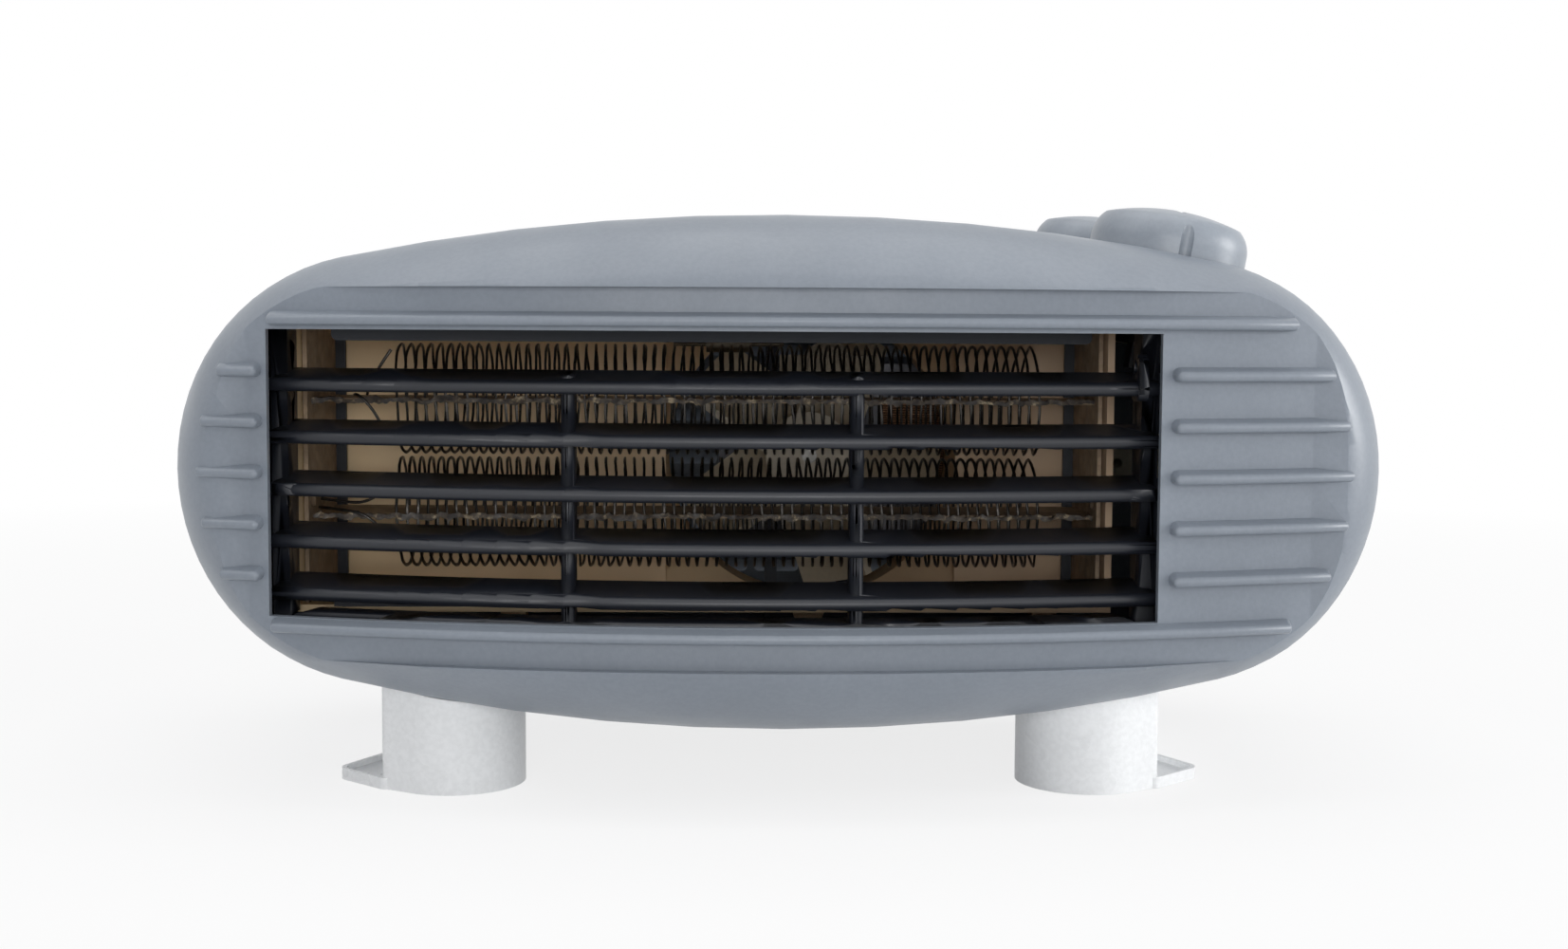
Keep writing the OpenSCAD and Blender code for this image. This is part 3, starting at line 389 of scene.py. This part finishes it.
def wound_copper(name):
    """Layers of enamelled wire that run round the core's leg."""
    paint, tree, shader, place = new_finish(name)
    shader.inputs["Metallic"].default_value = 1
    turns = bands(tree, place, "Z", 500, 0.6)
    tint = ramp(tree, turns, [(0.1, (0.07, 0.035, 0.02)), (0.8, (0.26, 0.15, 0.09))])
    set_colour(tree, shader, tint)
    set_roughness(tree, shader, noise(tree, place, 300, 2), (0.3, 0.25), (0.7, 0.45))
    bump(tree, shader, turns, 0.0001, 0.9)
    return paint


EVEN = (1, 1, 1)

FINISHES = {
    "housing_plastic": moulded_plastic("grey_housing_plastic", (0.212, 0.240, 0.280), 0.38),
    "grille_plastic": moulded_plastic("black_louvre_plastic", (0.011, 0.013, 0.019), 0.4, 0.15),
    "foot_plastic": moulded_plastic("white_foot_plastic", (0.91, 0.92, 0.925), 0.3, 0.02),
    # The knob is the housing's plastic painted lighter: painted light for the stronger light on
    # its front
    "knob_plastic": moulded_plastic("knob_plastic_painted_lighter", (0.280, 0.312, 0.355), 0.36),
    "black_plastic": moulded_plastic("black_switch_plastic", (0.02, 0.02, 0.022), 0.4, 0.12),
    # The duct's brown towards its right end is painted shade
    "duct_plastic": duct_with_painted_shade("beige_duct_plastic_painted_shade"),
    "fan_plastic": moulded_plastic("cream_fan_plastic", (0.66, 0.58, 0.44), 0.35, 0.05),
    "ivory_plastic": moulded_plastic("ivory_terminal_plastic", (0.70, 0.65, 0.50), 0.35, 0.05),
    "ceramic": moulded_plastic("pale_ceramic", (0.60, 0.56, 0.48), 0.6, 0.08, 900, 0.00006),
    "mica": mica_board("mica_sheet", (0.36, 0.26, 0.17)),
    # Painted glints on the frayed mica edges
    "mica_edge_painted_glints": mica_edge_painted_glints("frayed_mica_edge"),
    "bright_steel": bright_metal("plated_steel", (0.33, 0.32, 0.30), 0.42),
    "dark_steel": painted_steel("dark_sheet_steel", (0.035, 0.038, 0.045)),
    "browned_steel": bright_metal("heat_browned_steel", (0.20, 0.17, 0.13), 0.5),
    "core_steel": laminations("core_laminations"),
    "heating_wire": bright_metal(
        "oxidised_heating_wire", (0.10, 0.094, 0.088), 0.3, EVEN, 2500),
    "copper": wound_copper("enamelled_copper"),
    "bronze": bright_metal("bush_bronze", (0.55, 0.36, 0.16), 0.4),
    "cast_aluminium": bright_metal(
        "cast_aluminium", (0.34, 0.33, 0.31), 0.55, EVEN, 1200, 0.00006),
    "black_rubber": moulded_plastic(
        "black_inlet_rubber", (0.02, 0.02, 0.021), 0.65, 0.1, 1500, 0.00005),
}
NEAR_THE_HEAT = ("thermal_cutout", "thermal_fuse", "front_motor_bracket")


def paint_cad_nodes():
    slots = {row["node"]: row["material_slot"] for row in frame["record"]["subparts"]}
    slots.update({name: "browned_steel" for name in NEAR_THE_HEAT})
    for name, piece in node.items():
        piece.data.materials.clear()
        piece.data.materials.append(FINISHES[slots[name]])


# ---- Modelling ----

# Points nearer than this are one point
SAME_POINT = 0.00001


def begin(add, **options):
    """Adds a primitive while nothing else is selected."""
    bpy.ops.object.select_all(action="DESELECT")
    add(**options)
    return bpy.context.object


def open_mesh(piece):
    bpy.context.view_layer.objects.active = piece
    bpy.ops.object.mode_set(mode="EDIT")
    bpy.ops.mesh.select_all(action="SELECT")


def leave_mesh():
    bpy.ops.object.mode_set(mode="OBJECT")


def close_mesh():
    """Turns all faces outwards and leaves the mesh."""
    bpy.ops.mesh.select_all(action="SELECT")
    bpy.ops.mesh.normals_make_consistent(inside=False)
    leave_mesh()


def pick_points(piece, test):
    """Selects the points of the open mesh whose place passes a test."""
    bpy.ops.mesh.select_mode(type="VERT")
    bpy.ops.mesh.select_all(action="DESELECT")
    work = bmesh.from_edit_mesh(piece.data)
    for point in work.verts:
        point.select_set(test(point.co))
    work.select_flush_mode()
    bmesh.update_edit_mesh(piece.data)


def shape_with(piece, kind, **settings):
    """Adds a modifier and applies it."""
    change = piece.modifiers.new(kind.lower(), kind)
    for key, value in settings.items():
        setattr(change, key, value)
    bpy.context.view_layer.objects.active = piece
    bpy.ops.object.modifier_apply(modifier=change.name)


def settle(piece, name, body, slot, stands_for=(), smooth=None, finish=None):
    """Names a finished piece, keeps its place in its mesh, paints it and puts it on its body."""
    bpy.ops.object.select_all(action="DESELECT")
    piece.select_set(True)
    bpy.context.view_layer.objects.active = piece
    bpy.ops.object.transform_apply(location=True, rotation=True, scale=True)
    if smooth:
        bpy.ops.object.shade_smooth_by_angle(angle=math.radians(smooth))
    piece.name = piece.data.name = name
    piece.data.materials.clear()
    piece.data.materials.append(FINISHES[finish or slot])
    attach(piece, body)
    if stands_for:
        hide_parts(*stands_for)


def copy_of_node(name):
    """A merged copy of a CAD node's mesh, for a piece that stands for it."""
    piece = bpy.data.objects.new(name, node[name].data.copy())
    bpy.context.collection.objects.link(piece)
    bpy.ops.object.select_all(action="DESELECT")
    piece.select_set(True)
    open_mesh(piece)
    bpy.ops.mesh.remove_doubles(threshold=SAME_POINT)
    leave_mesh()
    return piece


def cut_box(piece, size, middle, slope):
    """Cuts a box out of a piece; slope lowers the box's bottom edge at the front."""
    cutter = begin(bpy.ops.mesh.primitive_cube_add, size=1)
    open_mesh(cutter)
    bpy.ops.transform.resize(value=size)
    bpy.ops.transform.translate(value=middle)
    pick_points(cutter, lambda place: place.z < middle[2] and place.y < middle[1])
    bpy.ops.transform.translate(value=(0, 0, -slope))
    leave_mesh()
    shape_with(piece, "BOOLEAN", operation="DIFFERENCE", object=cutter, solver="EXACT")
    bpy.data.objects.remove(cutter)


# ---- Heating coils ----

COIL_PITCH = 0.0023
COIL_WIRE = 0.00068
WIRE_SIDES = 6
STEPS_A_TURN = 36
# How far the turns wander along their board, and over what length
TURN_DRIFT = 0.0013
DRIFT_LENGTH = 0.011
WIRE_SMOOTHING = 60  # degrees


def uneven_turns():
    drift = bpy.data.textures.new("uneven_turns", "CLOUDS")
    drift.noise_scale = DRIFT_LENGTH
    drift.noise_depth = 2
    return drift


def wind_coil(name, stands_for, drift):
    """One long wire wound round its board: oval turns, a little unevenly spaced."""
    low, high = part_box(stands_for)
    middle = (low + high) / 2
    turns = round((high.x - low.x) / COIL_PITCH)
    across = (high.y - low.y) / 2 - COIL_WIRE / 2
    flatness = (high.z - low.z - COIL_WIRE) / (2 * across)
    wire = begin(bpy.ops.mesh.primitive_circle_add, vertices=WIRE_SIDES, radius=COIL_WIRE / 2)
    open_mesh(wire)
    bpy.ops.transform.translate(value=(0, across, 0))
    leave_mesh()
    shape_with(wire, "SCREW", axis="X", angle=2 * math.pi, iterations=turns,
               steps=STEPS_A_TURN, render_steps=STEPS_A_TURN,
               screw_offset=(high.x - low.x - COIL_WIRE) / turns, use_merge_vertices=False)
    open_mesh(wire)
    bpy.ops.mesh.remove_doubles(threshold=SAME_POINT)
    bpy.ops.mesh.select_all(action="SELECT")
    bpy.ops.mesh.fill_holes(sides=0)
    bpy.ops.mesh.select_all(action="SELECT")
    bpy.ops.transform.resize(value=(1, 1, flatness))
    bpy.ops.transform.translate(value=(low.x + COIL_WIRE / 2, middle.y, middle.z))
    close_mesh()
    shape_with(wire, "DISPLACE", texture=drift, texture_coords="LOCAL", direction="X",
               strength=TURN_DRIFT, mid_level=0.5)
    settle(wire, name, "housing", "heating_wire", (stands_for,), WIRE_SMOOTHING)


# ---- Frayed edges of the mica boards ----

CRUMB_SIZE = 0.0022
EDGE_CELLS = 420
EDGE_HEIGHT = 0.0011
EDGE_THICKNESS = 0.0005
EDGE_END = 0.0012
EDGE_AHEAD = 0.0004
EDGE_SMOOTHING = 25  # degrees
# How far the crumbs stand up and forward
CRUMBLING = (("Z", 0.0024), ("Y", 0.0011))


def crumbled_edge(name, board):
    """Frayed mica along a board's front edge, where the turns lie in their notches."""
    low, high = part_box(board)
    length = high.x - low.x - 2 * EDGE_END
    crumb = bpy.data.textures.new("mica_crumbs", "CLOUDS")
    crumb.noise_scale = CRUMB_SIZE
    crumb.noise_depth = 3
    edge = begin(bpy.ops.mesh.primitive_grid_add, x_subdivisions=EDGE_CELLS, y_subdivisions=4,
                 size=1)
    open_mesh(edge)
    bpy.ops.transform.resize(value=(length, EDGE_HEIGHT, 1))
    bpy.ops.transform.rotate(value=-math.pi / 2, orient_axis="X", center_override=(0, 0, 0))
    bpy.ops.transform.translate(
        value=((low.x + high.x) / 2, low.y - EDGE_AHEAD, (low.z + high.z) / 2))
    leave_mesh()
    for direction, strength in CRUMBLING:
        shape_with(edge, "DISPLACE", texture=crumb, texture_coords="LOCAL",
                   direction=direction, strength=strength, mid_level=0.5)
    shape_with(edge, "SOLIDIFY", thickness=EDGE_THICKNESS, offset=0)
    open_mesh(edge)
    close_mesh()
    settle(edge, name, "housing", "mica", smooth=EDGE_SMOOTHING, finish="mica_edge_painted_glints")


# ---- Leads at the left end of the element ----

LEAD_WIRE = 0.0007
# The points of each lead, in mm
LEADS = {
    "upper_lead_start": [
        (-90.7, -19.6, 99.2), (-92.4, -19.8, 96.8), (-94.2, -19.0, 94.0), (-96.4, -16.0, 91.0),
        (-97.6, -13.0, 88.6),
    ],
    "upper_lead_end": [
        (-99.8, -17.0, 88.6), (-98.8, -21.5, 89.0), (-97.4, -22.9, 88.6), (-94.9, -22.6, 86.0),
        (-93.2, -21.4, 82.8), (-92.0, -20.4, 79.2), (-90.8, -19.0, 77.6),
    ],
    "lower_lead_start": [
        (-107.6, -18.0, 64.4), (-103.0, -18.6, 63.8), (-98.0, -19.2, 63.4),
        (-94.0, -19.8, 65.2), (-90.8, -19.6, 68.0),
    ],
    "lower_lead_end": [
        (-107.6, -20.0, 62.6), (-102.0, -21.8, 62.2), (-97.0, -22.8, 61.4),
        (-93.6, -22.4, 58.6), (-90.8, -19.8, 55.0),
    ],
}


def bent_wire(name, points):
    """A lead bent through the given points, with closed ends."""
    wire = begin(bpy.ops.curve.primitive_nurbs_path_add)
    path = wire.data.splines[0]
    path.points.add(len(points) - len(path.points))
    for knot, place in zip(path.points, points):
        knot.co = (*(value * MM for value in place), 1)
    path.order_u = 3
    path.use_endpoint_u = True
    path.resolution_u = 5
    wire.data.bevel_depth = LEAD_WIRE / 2
    wire.data.bevel_resolution = 2
    wire.data.use_fill_caps = True
    bpy.ops.object.convert(target="MESH")
    settle(bpy.context.object, name, "housing", "heating_wire", smooth=WIRE_SMOOTHING)


def wind_element():
    drift = uneven_turns()
    for side in ("upper", "lower"):
        wind_coil(f"{side}_coil_wire", f"{side}_heating_coil", drift)
    for side in ("upper", "lower"):
        crumbled_edge(f"{side}_board_edge", f"{side}_mica_board")
    for name, points in LEADS.items():
        bent_wire(name, points)


# ---- Louvre grille ----

# Middles of the two struts above the first louvre, in mm
STRUTS = ((-46.8, -53.25, 99.58), (15.1, -55.95, 99.58))
STRUT_ROOM = (0.005, 0.0076, 0.00896)
LOUVRE_SLOPE = 0.0016


def trim_grille():
    """The grille as it is seen: its struts are cut off above the first louvre."""
    grille = copy_of_node("outlet_grille")
    for strut in STRUTS:
        cut_box(grille, STRUT_ROOM, tuple(value * MM for value in strut), LOUVRE_SLOPE)
    shape_with(grille, "DATA_TRANSFER", object=node["outlet_grille"], use_loop_data=True,
               data_types_loops={"CUSTOM_NORMAL"}, loop_mapping="POLYINTERP_NEAREST")
    settle(grille, "louvre_grille", "housing", "grille_plastic", ("outlet_grille",))


# ---- Smooth shading of the moulded CAD nodes ----

MOULDINGS = (
    "front_cover", "rear_shell", "left_foot", "right_foot", "mode_knob", "thermostat_knob",
)
WELD_DISTANCE = 0.00002
CREASE_ANGLE = 32  # degrees


def soften(name):
    """Joins a CAD node's loose triangles as it is drawn, so that its curves shade smoothly."""
    piece = node[name]
    for face in piece.data.polygons:
        face.use_smooth = True
    joined = piece.modifiers.new("joined", "WELD")
    joined.merge_threshold = WELD_DISTANCE
    crisp = piece.modifiers.new("crisp_edges", "EDGE_SPLIT")
    crisp.split_angle = math.radians(CREASE_ANGLE)
    crisp.use_edge_sharp = False


aim_camera()
set_studio()
paint_cad_nodes()
for moulding in MOULDINGS:
    soften(moulding)
wind_element()
trim_grille()
